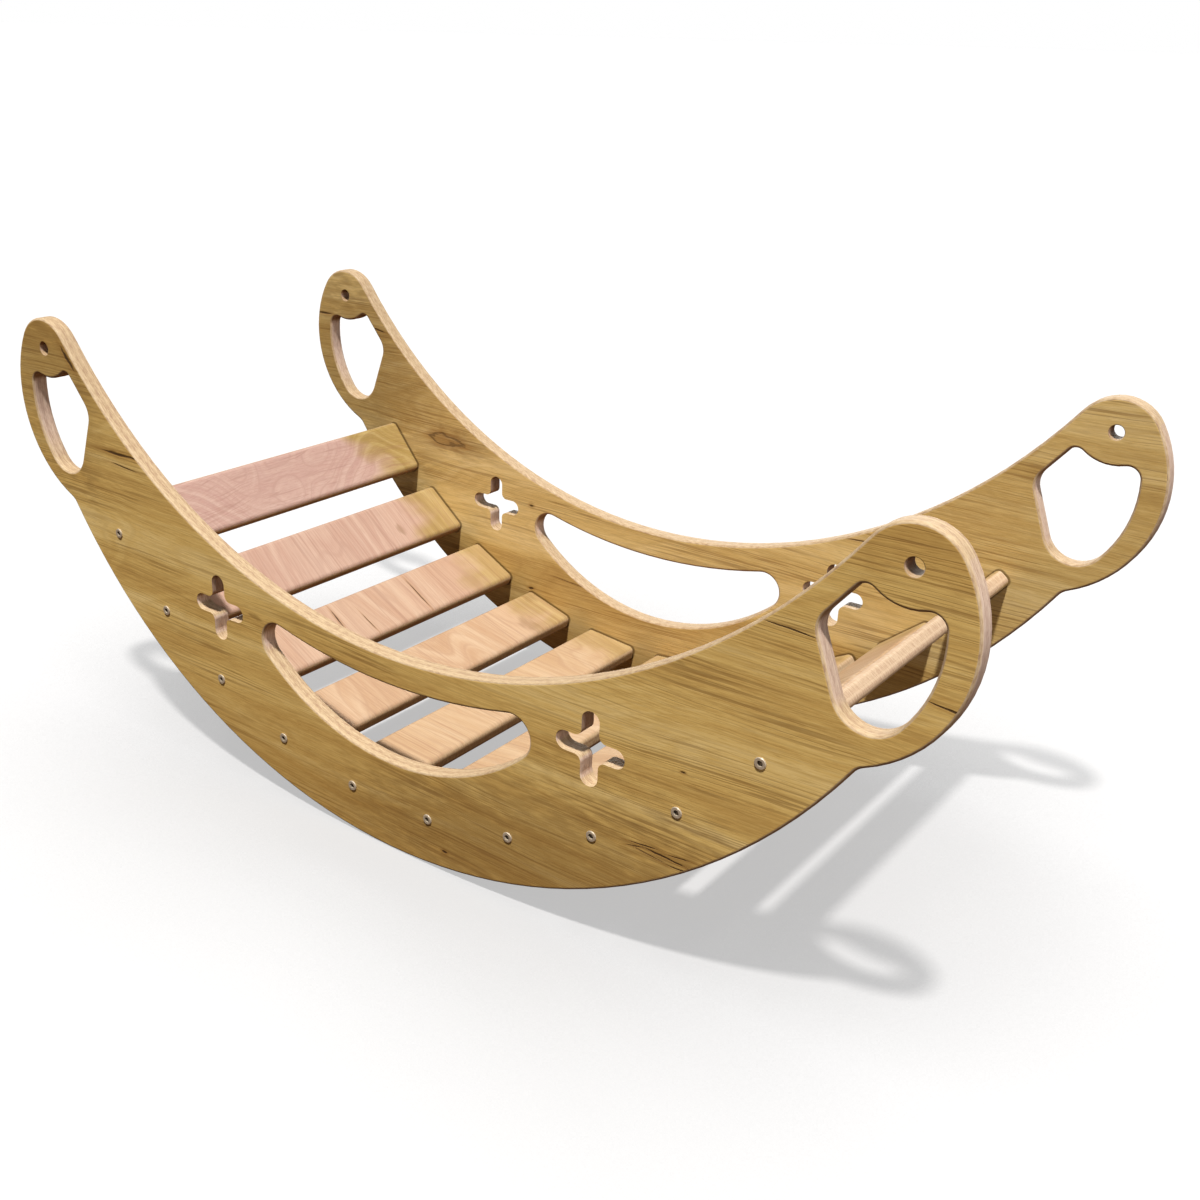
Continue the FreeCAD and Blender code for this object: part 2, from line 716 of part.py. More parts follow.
def write(pieces):
    os.makedirs("parts", exist_ok=True)
    for piece in pieces:
        piece.Shape.exportStep(f"parts/{piece.Label}.step")


parts = build_panels()
for slat_index in range(int(sizes.slat_count)):
    parts += build_slat(slat_index)
check(parts)
write(parts)
print(f"{len(parts)} pieces, slats {layout.slat_pitch:.2f} degrees apart")
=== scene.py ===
"""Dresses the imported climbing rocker: oak-faced board with pale edges, nickel screws, light and camera."""

import math

import bpy
from mathutils import Euler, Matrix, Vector


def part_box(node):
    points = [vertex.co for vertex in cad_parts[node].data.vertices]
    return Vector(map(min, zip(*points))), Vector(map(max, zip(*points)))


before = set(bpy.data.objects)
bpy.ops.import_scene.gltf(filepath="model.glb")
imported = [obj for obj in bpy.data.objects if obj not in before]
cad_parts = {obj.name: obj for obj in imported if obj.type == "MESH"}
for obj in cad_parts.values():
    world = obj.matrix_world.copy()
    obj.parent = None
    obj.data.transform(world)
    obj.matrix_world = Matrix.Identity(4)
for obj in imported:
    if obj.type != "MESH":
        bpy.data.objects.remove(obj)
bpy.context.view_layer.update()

# Sizes of the object, in metres
BOARD_THICKNESS = 0.018
PANEL_INNER_FACE = 0.217
ROCKER_RADIUS = 0.5625
SLAT_RADIUS = 0.5125
SLAT_WIDTH = 0.069
SLAT_EDGE_RADIUS = 0.006
SLAT_COUNT = 10

# Directions
RIGHT = (1, 0, 0)
FRONT = (0, -1, 0)
BACK = (0, 1, 0)
UP = (0, 0, 1)
DOWN = (0, 0, -1)

# Colours, as red, green and blue from 0 to 255. Oak and edges go from their dark bands to their pale ones
FRONT_OAK = ((180, 140, 76), (202, 164, 94), (219, 184, 111), (233, 203, 137))
BACK_OAK = ((174, 140, 80), (196, 163, 99), (211, 181, 118), (224, 198, 142))
ROSE_OAK = ((180, 144, 134), (185, 151, 141), (190, 158, 147), (196, 166, 155))
PEACH_OAK = ((181, 148, 114), (186, 155, 122), (191, 162, 130), (197, 171, 140))
# Gold of painted shade and bounce light from the far panel, for the slats' far ends
FAR_END_SHADE_GOLD = ((146, 121, 69), (156, 131, 77), (165, 140, 86), (175, 152, 101))
OAK_LINE = (112, 72, 26)
ROSE_LINE = (132, 88, 74)
OAK_RUSSET = (142, 94, 34)
OAK_SHADE = (116, 84, 44)
OAK_SPLIT = (52, 30, 13)
FRONT_EDGE = ((164, 133, 107), (187, 161, 128), (201, 178, 144))
BACK_EDGE = ((158, 128, 99), (182, 156, 123), (199, 177, 146))
SLAT_EDGE = ((158, 128, 98), (176, 150, 114), (186, 163, 126))
# Rosy edge colour: painted light on panel edges that look to the right, and a rosy tint on the slats' edges
ROSE_EDGE = ((190, 160, 145), (211, 184, 168), (223, 200, 185))
EDGE_GLUE = (146, 110, 76)
# Brown painted shade, for board edges that face down and for the walls of the narrow cut-outs
EDGE_PAINTED_SHADE = (118, 74, 28)
# Painted contact shade round the slats where they meet the panels
CONTACT_SHADE_DARK = (70, 42, 16)
BEECH = ((186, 146, 104), (222, 190, 148))
NICKEL = (230, 216, 194)
NICKEL_DULL = (190, 174, 152)
# Painted shade down in the screws' sockets
SOCKET_SHADE = (60, 50, 42)
FLOOR_WHITE = (112, 112, 114)
FLOOR_GLOW = (222, 222, 222)
BACKDROP_WHITE = (255, 255, 255)

# Tones, from 0 to 1, at which these colours are reached
OAK_TONES = (0.34, 0.45, 0.52, 0.62)
EDGE_TONES = (0.38, 0.49, 0.59)
BEECH_TONES = (0.35, 0.6)

# Grain: patches of noise per metre along and across it, and a number that sets each noise apart
SWAY_PITCH = (1.2, 5.0)
RIPPLE_PITCH = (9.0, 24.0)
ARCH_PITCH = (1.7, 5.5)
FIBRE_PITCH = (40.0, 800.0)
PATCH_PITCH = (5.0, 30.0)
BOLD_PITCH = (2.6, 190.0)
FINE_PITCH = (6.0, 330.0)
PORE_PITCH = (60.0, 900.0)
WOBBLE_PITCH = (40.0, 150.0)
CLOUD_PITCH = (12.0, 25.0)
ARCH_SEED = 5.0
PATCH_SEED = 2.0
FINE_SEED = 3.0
FRONT_SEED = 3.0
BACK_SEED = 8.0
SLAT_SEED = 20.0
SLAT_SEED_STEP = 3.7

# Grain: how far the rings bend in metres, and the stripes and arches per metre across them
SWAY_DEPTH = 0.05
RIPPLE_DEPTH = 0.004
BROAD_STRIPES = 15.0
ARCHES = 60.0
ARCH_DEPTH = 26.0

# Grain: levels between which a line, pore or patch comes or goes, and how much each counts
LINE_LEVEL = 0.54
LINE_FADE = (0.055, 0.01)
ARC_FADE = (0.12, 0.03)
PATCH_RISE = (0.35, 0.6)
PORE_RISE = (0.57, 0.7)
FIBRE_SHARE = 0.3
FINE_SHARE = 0.4
PORE_SHARE = 0.5
PANEL_FIGURE = 0.2
PANEL_LINE_SHARE = 0.5
SLAT_FIGURE = 0.5
SLAT_LINE_SHARE = 0.3
FIRST_SLAT_STRETCH = 3.0

# Surface of the board
BOARD_ROUGHNESS = 0.46
OPEN_GRAIN_ROUGHNESS = 0.4
SPLIT_ROUGHNESS = 0.8
SPLIT_HEIGHT = -2.0
BOARD_SPECULAR = 0.3
BOARD_BUMP = 0.00015

# Marks in the oak: place along and up the panel, length, width and tilt in degrees
FRONT_SPLITS = (
    (-0.382, 0.331, 0.066, 0.0034, -1.0),
    (-0.376, 0.318, 0.050, 0.0018, -4.0),
    (-0.457, 0.421, 0.034, 0.0052, -48.0),
    (0.412, 0.356, 0.052, 0.0018, -3.0),
    (0.534, 0.331, 0.034, 0.0018, -6.0),
    (0.296, 0.1235, 0.034, 0.0016, 5.0),
    (0.318, 0.1205, 0.050, 0.0022, -3.0),
    (0.331, 0.1250, 0.026, 0.0013, 6.0),
    (0.303, 0.1165, 0.036, 0.0012, -6.0),
    (0.334, 0.1145, 0.030, 0.0014, 3.0),
    (0.288, 0.1195, 0.020, 0.0012, 12.0),
    (0.072, 0.0240, 0.008, 0.0030, 0.0),
    (0.330, 0.2060, 0.006, 0.0020, 0.0),
)
BACK_SPLITS = (
    (-0.538, 0.398, 0.034, 0.0030, 0.0),
    (-0.440, 0.389, 0.030, 0.0022, -8.0),
    (0.425, 0.394, 0.014, 0.0030, 40.0),
    (0.262, 0.264, 0.034, 0.0020, 4.0),
    (-0.118, 0.118, 0.070, 0.0010, -3.0),
    (-0.180, 0.205, 0.008, 0.0034, 0.0),
    (-0.178, 0.094, 0.010, 0.0044, 10.0),
)
BACK_KNOTS = ((-0.322, 0.263, 0.062, 0.013, -2.0),)
# Stain marks, and broad patches of painted shade: the first two here, low on the panel and at its left tip
FRONT_STAINS_AND_SHADE = (
    (0.20, 0.060, 0.62, 0.190, 6.0),
    (-0.50, 0.400, 0.26, 0.200, -60.0),
    (0.302, 0.316, 0.036, 0.007, 80.0),
    (0.312, 0.303, 0.034, 0.005, -12.0),
    (-0.182, 0.200, 0.024, 0.006, -10.0),
)
# Stain marks, and a broad patch of painted shade: the first here, at the panel's left tip
BACK_STAINS_AND_SHADE = (
    (-0.45, 0.330, 0.34, 0.240, -52.0),
    (-0.310, 0.263, 0.150, 0.040, -6.0),
)

# Marks in the slats, by number: place across and along the slat, length, width and tilt in degrees
SLAT_SPLITS = {
    3: (
        (0.002, 0.0663, 0.056, 0.0018, -3.0),
        (0.012, -0.0270, 0.030, 0.0013, 0.0),
        (-0.008, -0.0610, 0.034, 0.0024, -6.0),
    ),
}
# Stain marks; the second on slat 4, near its far end, is painted shade
SLAT_STAINS_AND_SHADE = {
    2: ((0.010, 0.120, 0.022, 0.010, 0.0),),
    4: ((0.015, 0.157, 0.044, 0.022, 0.0), (-0.024, 0.205, 0.030, 0.020, 0.0)),
}

# Walls of the cut-outs that get painted shade: upper arms of the stars and the holes in the tips
SHADED_HOLLOWS = (
    (-0.245, 0.223, 0.070, 0.052, 0.0),
    (0.229, 0.223, 0.070, 0.052, 0.0),
    (-0.504, 0.430, 0.034, 0.030, 0.0),
    (0.494, 0.430, 0.026, 0.026, 0.0),
)

# How marks fade, from their outline at 1 to their middle at 0, and how much of their colour they have
WOBBLE_DEPTH = 1.4
STAIN_AND_SHADE_FADE = (1.4, 0.2)
STAIN_AND_SHADE_SHARE = 0.4
SPLIT_FADE = (1.2, 0.4)
SPLIT_SHARE = 0.85
SPLIT_HALO_FADE = (4.0, 0.5)
HALO_SHARE = 0.4
KNOT_OUTLINE = 0.9
KNOT_FADE = (0.4, 0.1)
KNOT_SHARE = 0.6
KNOT_HALO_FADE = (3.0, 0.8)
# Painted shade in the narrow cut-outs: how it fades and how much of the brown it takes
HOLLOW_SHADE_FADE = (1.3, 0.7)
HOLLOW_SHADE_SHARE = 0.4

# Edge of the board: its layers, the streaks in them per metre, and the glue between them
LAYER_COUNT = 7.0
LAYER_CHANGE = 0.7
STREAK_PITCH = (140.0, 800.0, 140.0)
STREAK_SHARE = 0.75
STREAK_ROUGHNESS = 0.2
GLUE_FADE = (0.12, 0.0)
GLUE_SHARE = 0.12
GLUE_DEPTH = 0.4
# Painted shade on edges that face down: where it begins, and how much of the brown it takes
UNDERSIDE_SHADE_RISE = (0.05, 0.6)
UNDERSIDE_SHADE_SHARE = 0.8

# Panels: where a face begins, the grain's distance between the two faces, and tints on face and edge: painted
# shade near the floor, painted rosy light on edges that look to the right, and painted contact shade round
# the slats
PANEL_FACE_RISE = (0.95, 0.985)
SIDE_RISE = (-0.1, 0.1)
FACES_APART = 0.7
# Painted shade near the floor, in russet: where it fades and how much it takes
LOW_SHADE_FADE = (0.16, 0.0)
LOW_SHADE_SHARE = 0.35
INNER_RISE = (0.5, 0.9)
# Painted rosy light on panel edges that look to the right: where it begins and how much it takes
RIGHT_LIGHT_RISE = (0.75, 1.0)
RIGHT_LIGHT_SHARE = 0.9
# Painted contact shade round the slats on a panel's inner face: its fade and share
CONTACT_SHADE_FADE = (0.0022, 0.0006)
CONTACT_SHADE_SHARE = 0.65

# Slats: where a face begins, and their tints, which change from the first slat to the last, with a gold of
# painted shade and bounce light at their far ends and painted contact shade at both ends
SLAT_FACE_RISE = (0.45, 0.8)
PEACH_GAIN = 2.5
CLOUD_DEPTH = 0.12
# The gold of painted shade and bounce light at the slats' far ends: its gain, border, blur and loss
GOLD_GAIN = 2.25
GOLD_BORDER = 0.18
GOLD_BORDER_SHIFT = 0.035
GOLD_BLUR = 0.055
GOLD_LOSS = 0.3
SLAT_ROSY = 0.1
SLAT_ROSY_GAIN = 0.25
LAST_SLATS = 3
# Painted contact shade on the slats' ends: where it begins and how much it takes
SLAT_END_SHADE_RISE = (PANEL_INNER_FACE - 0.0035, PANEL_INNER_FACE - 0.0012)
SLAT_END_SHADE_SHARE = 0.4

# Screws and dowels
TURNING_PITCH = (900.0, 900.0, 900.0)
SOCKET_TOP = PANEL_INNER_FACE + BOARD_THICKNESS
SOCKET_FADE = (SOCKET_TOP, SOCKET_TOP - 0.001)
# How much of the painted shade the socket takes
SOCKET_SHADE_SHARE = 0.85
NICKEL_METALLIC = 0.5
NICKEL_ROUGHNESS = 0.3
NICKEL_BUMP = 0.00003
FLECK_PITCH = (1400.0, 180.0, 1400.0)
BEECH_ROUGHNESS = 0.5
BEECH_BUMP = 0.00005
FINE_ROUGHNESS = 0.2

# Camera
CAMERA_PLACE = (0.8169, -1.0697, 0.7518)
CAMERA_AZIMUTH = 36.82
CAMERA_ELEVATION = 23.52
CAMERA_ROLL = 1.455
CAMERA_LENS = 40.82
CAMERA_SENSOR = 36.0
CAMERA_SHIFT = (0.0417, 0.0201)

# Light
KEY_TOWARD = (0.10, -0.335, 0.94)
KEY_SPREAD = 3.5
KEY_POWER = 5.1
KEY_COLOUR = (255, 252, 246)
BACK_TOWARD = (-0.25, 0.95, 0.12)
BACK_SPREAD = 50.0
BACK_POWER = 1.7
BACK_GLOSS = 0.3
FILL_PLACE = (2.6, -0.6, 1.1)
FILL_SIZE = 1.2
FILL_POWER = 18.0
FILL_COLOUR = (255, 253, 250)
SKY_ZENITH = (98, 98, 100)
SKY_HORIZON = (140, 140, 140)
SKY_BELOW = (92, 60, 28)
SKY_COLOURS = (SKY_BELOW, SKY_HORIZON, SKY_HORIZON, SKY_ZENITH)
SKY_LEVELS = (0.47, 0.50, 0.53, 0.63)

# Floor: its size and the reach of its shade in metres, and the part of its glow that the shade takes
FLOOR_SIZE = 400.0
FLOOR_UNEVENNESS = 0.03
FLOOR_ROUGHNESS = 0.9
FLOOR_SHADE_REACH = 0.5
FLOOR_SHADE_SAMPLES = 8
FLOOR_SHADE_RISE = (0.66, 1.0)
FLOOR_SHADE_DEPTH = 0.34


def linear(colour, alpha=True):
    """A colour from 0 to 255 as the linear numbers that shaders take."""
    parts = []
    for part in colour:
        value = part / 255
        parts.append(value / 12.92 if value <= 0.04045 else ((value + 0.055) / 1.055) ** 2.4)
    return (*parts, 1.0) if alpha else tuple(parts)


def fill_ramp(node, places, colours):
    """Gives a ramp its colours at their places from 0 to 1."""
    bar = node.color_ramp.elements
    while len(bar) < len(places):
        bar.new(0.5)
    for element, place, colour in zip(bar, places, colours):
        element.position = place
        element.color = linear(colour)


class Finish:
    """A material, and short ways to add its nodes."""

    def __init__(self, name):
        self.material = bpy.data.materials.new(name)
        self.material.use_nodes = True
        self.nodes = self.material.node_tree.nodes
        self.links = self.material.node_tree.links
        self.shader = self.nodes["Principled BSDF"]
        place = self.nodes.new("ShaderNodeTexCoord")
        self.place = place.outputs["Object"]
        self.normal = place.outputs["Normal"]

    def feed(self, socket, value):
        """Links a socket to another one, or sets its value."""
        if isinstance(value, bpy.types.NodeSocket):
            self.links.new(value, socket)
        else:
            socket.default_value = value

    def add(self, kind, inputs, **settings):
        """A new node with these settings, and its sockets fed by name or number."""
        node = self.nodes.new("ShaderNode" + kind)
        for name, value in settings.items():
            setattr(node, name, value)
        for key, value in inputs.items():
            self.feed(node.inputs[key], value)
        return node

    def math(self, operation, *values):
        """A sum, product or other operation on numbers."""
        return self.add("Math", dict(enumerate(values)), operation=operation).outputs[0]

    def scaled(self, value, factor, shift=0.0):
        """value times factor plus shift."""
        return self.math("MULTIPLY_ADD", value, factor, shift)

    def most(self, *values):
        """The largest of several numbers."""
        largest = values[0]
        for value in values[1:]:
            largest = self.math("MAXIMUM", largest, value)
        return largest

    def dot(self, vector, direction):
        """How far a vector reaches along a direction."""
        inputs = {0: vector, 1: direction}
        return self.add("VectorMath", inputs, operation="DOT_PRODUCT").outputs["Value"]

    def stretched(self, pitch):
        """The place on the object, times a number along each axis."""
        return self.add("VectorMath", {0: self.place, 1: pitch}, operation="MULTIPLY").outputs[0]

    def step(self, value, low, high):
        """0 below low, 1 above high, and a smooth rise between them. Falls where low is above high."""
        if low > high:
            return self.math("SUBTRACT", 1.0, self.step(value, high, low))
        inputs = {"Value": value, "From Min": low, "From Max": high}
        return self.add("MapRange", inputs, interpolation_type="SMOOTHSTEP").outputs[0]

    def noise(self, vector, detail=2.0, roughness=0.5):
        """Smooth noise from about 0.2 to 0.8, one patch per unit of the vector."""
        inputs = {"Vector": vector, "Scale": 1.0, "Detail": detail, "Roughness": roughness}
        return self.add("TexNoise", inputs).outputs[0]

    def grain(self, along, across, pitch, seed, detail=2.0, roughness=0.5):
        """Noise with its own number of patches per metre along and across the grain."""
        parts = {"X": self.scaled(along, pitch[0]), "Y": self.scaled(across, pitch[1]), "Z": seed}
        return self.noise(self.add("CombineXYZ", parts).outputs[0], detail, roughness)

    def stripes(self, value, detail=3.0):
        """Noise along one line only, one stripe per unit."""
        inputs = {"W": value, "Scale": 1.0, "Detail": detail, "Roughness": 0.6}
        return self.add("TexNoise", inputs, noise_dimensions="1D").outputs[0]

    def mix(self, factor, first, second):
        """Two colours mixed by a factor from 0 to 1."""
        node = self.add("Mix", {0: factor}, data_type="RGBA")
        colours = [socket for socket in node.inputs if socket.type == "RGBA"]
        for socket, value in zip(colours, (first, second)):
            self.feed(socket, value)
        return next(socket for socket in node.outputs if socket.type == "RGBA")

    def blend(self, factor, first, second):
        """Two numbers mixed by a factor from 0 to 1."""
        inputs = {0: factor, 2: first, 3: second}
        return self.add("Mix", inputs, data_type="FLOAT").outputs[0]

    def ramp(self, value, places, colours):
        """A colour from a value, through these colours at these places."""
        node = self.add("ValToRGB", {0: value})
        fill_ramp(node, places, colours)
        return node.outputs[0]

    def finish(self, colour, roughness):
        """Joins the last colour and roughness to the shader."""
        self.feed(self.shader.inputs["Base Color"], colour)
        self.feed(self.shader.inputs["Roughness"], roughness)
        return self.material

    def emboss(self, height, depth):
        """Joins a height to the shader, as a bump with this depth in metres."""
        bump = self.add("Bump", {"Height": height, "Distance": depth, "Strength": 1.0})
        self.feed(self.shader.inputs["Normal"], bump.outputs[0])


def grain_lines(finish, along, ring, pitch, seed):
    """Long thin lines along the grain, where a stretched noise passes one level."""
    level = finish.grain(along, ring, pitch, seed, detail=1.0)
    from_level = finish.math("ABSOLUTE", finish.scaled(level, 1.0, -LINE_LEVEL))
    return finish.step(from_level, *LINE_FADE)


def oak_grain(finish, along, across, seed, figured):
    """The oak's slow change of tone, its thin dark lines and its fine pores, each from 0 to 1."""
    sway = finish.grain(along, across, SWAY_PITCH, seed)
    ripple = finish.grain(along, across, RIPPLE_PITCH, seed)
    ring = finish.scaled(ripple, RIPPLE_DEPTH, finish.scaled(sway, SWAY_DEPTH, across))
    arch = finish.grain(along, across, ARCH_PITCH, seed + ARCH_SEED)
    arches = finish.scaled(arch, ARCH_DEPTH, finish.scaled(across, ARCHES))
    broad = finish.stripes(finish.scaled(ring, BROAD_STRIPES, seed))
    figure = finish.stripes(arches, detail=2.0)
    fibres = finish.grain(along, ring, FIBRE_PITCH, seed, detail=3.0, roughness=0.75)
    tone = finish.blend(FIBRE_SHARE, finish.blend(figured, broad, figure), fibres)
    patches = finish.grain(along, across, PATCH_PITCH, seed + PATCH_SEED)
    bold = grain_lines(finish, along, ring, BOLD_PITCH, seed)
    bold = finish.math("MULTIPLY", bold, finish.step(patches, *PATCH_RISE))
    fine = finish.scaled(grain_lines(finish, along, ring, FINE_PITCH, seed + FINE_SEED), FINE_SHARE)
    arc = finish.step(finish.math("PINGPONG", arches, 0.5), *ARC_FADE)
    lines = finish.most(bold, fine, finish.scaled(arc, figured))
    pores = finish.grain(along, ring, PORE_PITCH, seed, roughness=0.6)
    return tone, lines, finish.step(pores, *PORE_RISE)


def oak_face(finish, wood, lines, pores, line, share):
    """An oak face: its colour, roughness and height. The lines have a share of the line's colour."""
    open_grain = finish.most(finish.scaled(lines, share), finish.scaled(pores, PORE_SHARE * share))
    colour = finish.mix(open_grain, wood, linear(line))
    roughness = finish.scaled(open_grain, OPEN_GRAIN_ROUGHNESS, BOARD_ROUGHNESS)
    height = finish.scaled(open_grain, -1.0, 0.5)
    return colour, roughness, height


def tinted(finish, surface, share, colour):
    """A surface of colour, roughness and height, with a share of another colour."""
    return finish.mix(share, surface[0], linear(colour)), *surface[1:]


def lens(finish, along, across, wobble, spot):
    """A shape that is pointed at both ends: 0 in its middle and 1 on its outline."""
    place, level, length, width, tilt = spot
    cosine = math.cos(math.radians(tilt))
    sine = math.sin(math.radians(tilt))
    from_place = finish.scaled(along, 1.0, -place)
    from_level = finish.scaled(wobble, width, finish.scaled(across, 1.0, -level))
    lengthwise = finish.scaled(from_level, sine, finish.scaled(from_place, cosine))
    crosswise = finish.scaled(from_level, cosine, finish.scaled(from_place, -sine))
    along_share = finish.math("POWER", finish.scaled(lengthwise, 2 / length), 2.0)
    across_share = finish.math("ABSOLUTE", finish.scaled(crosswise, 2 / width))
    return finish.math("ADD", along_share, across_share)


def lenses(finish, along, across, wobble, spots):
    """The shapes of several marks."""
    return [lens(finish, along, across, wobble, spot) for spot in spots]


def spread(finish, shapes, fade):
    """1 in the middle of any of these shapes, falling to 0 outside them."""
    return finish.most(0.0, *(finish.step(shape, *fade) for shape in shapes))


def mark_face(finish, face, along, across, on_side, marks):
    """Adds the splits, knots and stain marks of one side of a board to its face, with broad patches of
    painted shade among the stain marks.
    """
    wobble = finish.grain(along, across, WOBBLE_PITCH, 0.0, detail=3.0)
    wobble = finish.scaled(wobble, WOBBLE_DEPTH, -WOBBLE_DEPTH / 2)
    splits, knots, stain_and_shade_shapes = (lenses(finish, along, across, wobble, spots) for spots in marks)
    rings = [finish.math("ABSOLUTE", finish.scaled(knot, 1.0, -KNOT_OUTLINE)) for knot in knots]
    ringed = finish.scaled(spread(finish, rings, KNOT_FADE), KNOT_SHARE)
    opened = finish.most(spread(finish, splits, SPLIT_FADE), ringed)
    halo = finish.most(spread(finish, splits, SPLIT_HALO_FADE), spread(finish, knots, KNOT_HALO_FADE))
    # Stain marks and broad patches of painted shade darken the face
    stain_and_shade = spread(finish, stain_and_shade_shapes, STAIN_AND_SHADE_FADE)
    stain_and_shade, halo, opened = (finish.math("MULTIPLY", share, on_side) for share in (stain_and_shade, halo, opened))
    face = tinted(finish, face, finish.scaled(stain_and_shade, STAIN_AND_SHADE_SHARE), OAK_SHADE)
    face = tinted(finish, face, finish.scaled(halo, HALO_SHARE), OAK_RUSSET)
    colour, roughness, height = tinted(finish, face, finish.scaled(opened, SPLIT_SHARE), OAK_SPLIT)
    roughness = finish.blend(opened, roughness, SPLIT_ROUGHNESS)
    return colour, roughness, finish.blend(opened, height, SPLIT_HEIGHT)


def board_edge(finish, through, palette, rosy, seed):
    """The board's sawn edge: streaked layers of wood between faint glue lines, and brown painted shade where
    it faces down.
    """
    layers = finish.scaled(through, LAYER_COUNT)
    layer = finish.stripes(finish.scaled(finish.math("FLOOR", layers), LAYER_CHANGE, seed), detail=0.0)
    glue = finish.step(finish.math("PINGPONG", layers, 0.5), *GLUE_FADE)
    streaks = finish.noise(finish.stretched(STREAK_PITCH), detail=4.0, roughness=0.7)
    tone = finish.blend(STREAK_SHARE, layer, streaks)
    pale, rose = (finish.ramp(tone, EDGE_TONES, colours) for colours in (palette, ROSE_EDGE))
    roughness = finish.scaled(streaks, STREAK_ROUGHNESS, BOARD_ROUGHNESS)
    height = finish.math("SUBTRACT", streaks, finish.scaled(glue, GLUE_DEPTH))
    edge = (finish.mix(rosy, pale, rose), roughness, height)
    edge = tinted(finish, edge, finish.scaled(glue, GLUE_SHARE), EDGE_GLUE)
    # Painted shade: the parts of an edge that face down turn brown
    underside_shade = finish.step(finish.dot(finish.normal, DOWN), *UNDERSIDE_SHADE_RISE)
    return tinted(finish, edge, finish.scaled(underside_shade, UNDERSIDE_SHADE_SHARE), EDGE_PAINTED_SHADE)


def join_faces(finish, face, edge, flatness, rise):
    """Face and edge in one finish. flatness is 1 on the flat faces and falls on the rounded edges."""
    on_face = finish.step(flatness, *rise)
    colour = finish.mix(on_face, edge[0], face[0])
    roughness = finish.blend(on_face, edge[1], face[1])
    finish.emboss(finish.blend(on_face, edge[2], face[2]), BOARD_BUMP)
    finish.shader.inputs["Specular IOR Level"].default_value = BOARD_SPECULAR
    return finish.finish(colour, roughness)


def slat_contact_shade(finish, along, up):
    """The dark line of painted contact shade round the slats' ends on a panel, as a number from 0 to 1."""
    last = slat_turn(slat_name(SLAT_COUNT))
    pitch = 2 * last / (SLAT_COUNT - 1)
    below = finish.scaled(up, -1.0, ROCKER_RADIUS)
    squares = (finish.math("POWER", side, 2.0) for side in (along, below))
    radius = finish.math("SQRT", finish.math("ADD", *squares))
    turn = finish.math("ARCTAN2", along, below)
    from_slat = finish.scaled(finish.math("FRACT", finish.scaled(turn, 1 / pitch)), pitch, -pitch / 2)
    sideways = finish.math("MULTIPLY", radius, finish.math("SINE", from_slat))
    inward = finish.math("MULTIPLY", radius, finish.math("COSINE", from_slat))
    inward = finish.scaled(inward, 1.0, -SLAT_RADIUS)
    gap = 0.0
    for distance, size in ((sideways, SLAT_WIDTH), (inward, BOARD_THICKNESS)):
        flat = size / 2 - SLAT_EDGE_RADIUS
        beyond = finish.most(finish.scaled(finish.math("ABSOLUTE", distance), 1.0, -flat), 0.0)
        gap = finish.math("ADD", gap, finish.math("POWER", beyond, 2.0))
    gap = finish.scaled(finish.math("SQRT", gap), 1.0, -SLAT_EDGE_RADIUS)
    among_slats = finish.step(finish.math("ABSOLUTE", turn), last + pitch / 2, last + pitch / 3)
    return finish.math("MULTIPLY", finish.step(gap, *CONTACT_SHADE_FADE), among_slats)


def panel_face(finish, along, up, side, seed, palette, marks):
    """A panel's face: grain along its length, russet painted shade near the floor, marks on the side to the
    front.
    """
    across = finish.scaled(side, -FACES_APART, up)
    tone, lines, pores = oak_grain(finish, along, across, seed, PANEL_FIGURE)
    wood = finish.ramp(tone, OAK_TONES, palette)
    face = oak_face(finish, wood, lines, pores, OAK_LINE, PANEL_LINE_SHARE)
    # Painted shade: the face turns russet toward the floor
    low = finish.scaled(finish.step(up, *LOW_SHADE_FADE), LOW_SHADE_SHARE)
    face = tinted(finish, face, low, OAK_RUSSET)
    return mark_face(finish, face, along, up, side, marks)


def panel_edge(finish, along, depth, up, seed, palette):
    """A panel's edge: painted rosy light where it looks to the right, and painted shade in the narrow
    cut-outs.
    """
    from_inside = finish.scaled(finish.math("ABSOLUTE", depth), 1.0, -PANEL_INNER_FACE)
    through = finish.scaled(from_inside, 1 / BOARD_THICKNESS)
    # Painted light: panel edges that look to the right turn rosy
    rosy = finish.scaled(finish.step(finish.dot(finish.normal, RIGHT), *RIGHT_LIGHT_RISE), RIGHT_LIGHT_SHARE)
    edge = board_edge(finish, through, palette, rosy, seed)
    # Painted shade on the walls of the narrow cut-outs
    hollow_shade = spread(finish, lenses(finish, along, up, 0.0, SHADED_HOLLOWS), HOLLOW_SHADE_FADE)
    return tinted(finish, edge, finish.scaled(hollow_shade, HOLLOW_SHADE_SHARE), EDGE_PAINTED_SHADE)


def panel_finish(name, seed, palette, edge_palette, marks, inward):
    """A side panel: oak faces, pale edges, and dark lines of painted contact shade round the slats on its
    inner face.
    """
    finish = Finish(name)
    along, depth, up = (finish.dot(finish.place, axis) for axis in (RIGHT, BACK, UP))
    facing = finish.dot(finish.normal, FRONT)
    side = finish.step(facing, *SIDE_RISE)
    face = panel_face(finish, along, up, side, seed, palette, marks)
    inner = finish.step(finish.dot(finish.normal, inward), *INNER_RISE)
    # Painted contact shade round the slat ends on the inner face
    contact_shade = finish.math("MULTIPLY", slat_contact_shade(finish, along, up), inner)
    face = tinted(finish, face, finish.scaled(contact_shade, CONTACT_SHADE_SHARE), CONTACT_SHADE_DARK)
    edge = panel_edge(finish, along, depth, up, seed, edge_palette)
    return join_faces(finish, face, edge, finish.math("ABSOLUTE", facing), PANEL_FACE_RISE)


def slat_name(number):
    """The node of a slat, counted from the left."""
    return f"slat_{number:02d}"


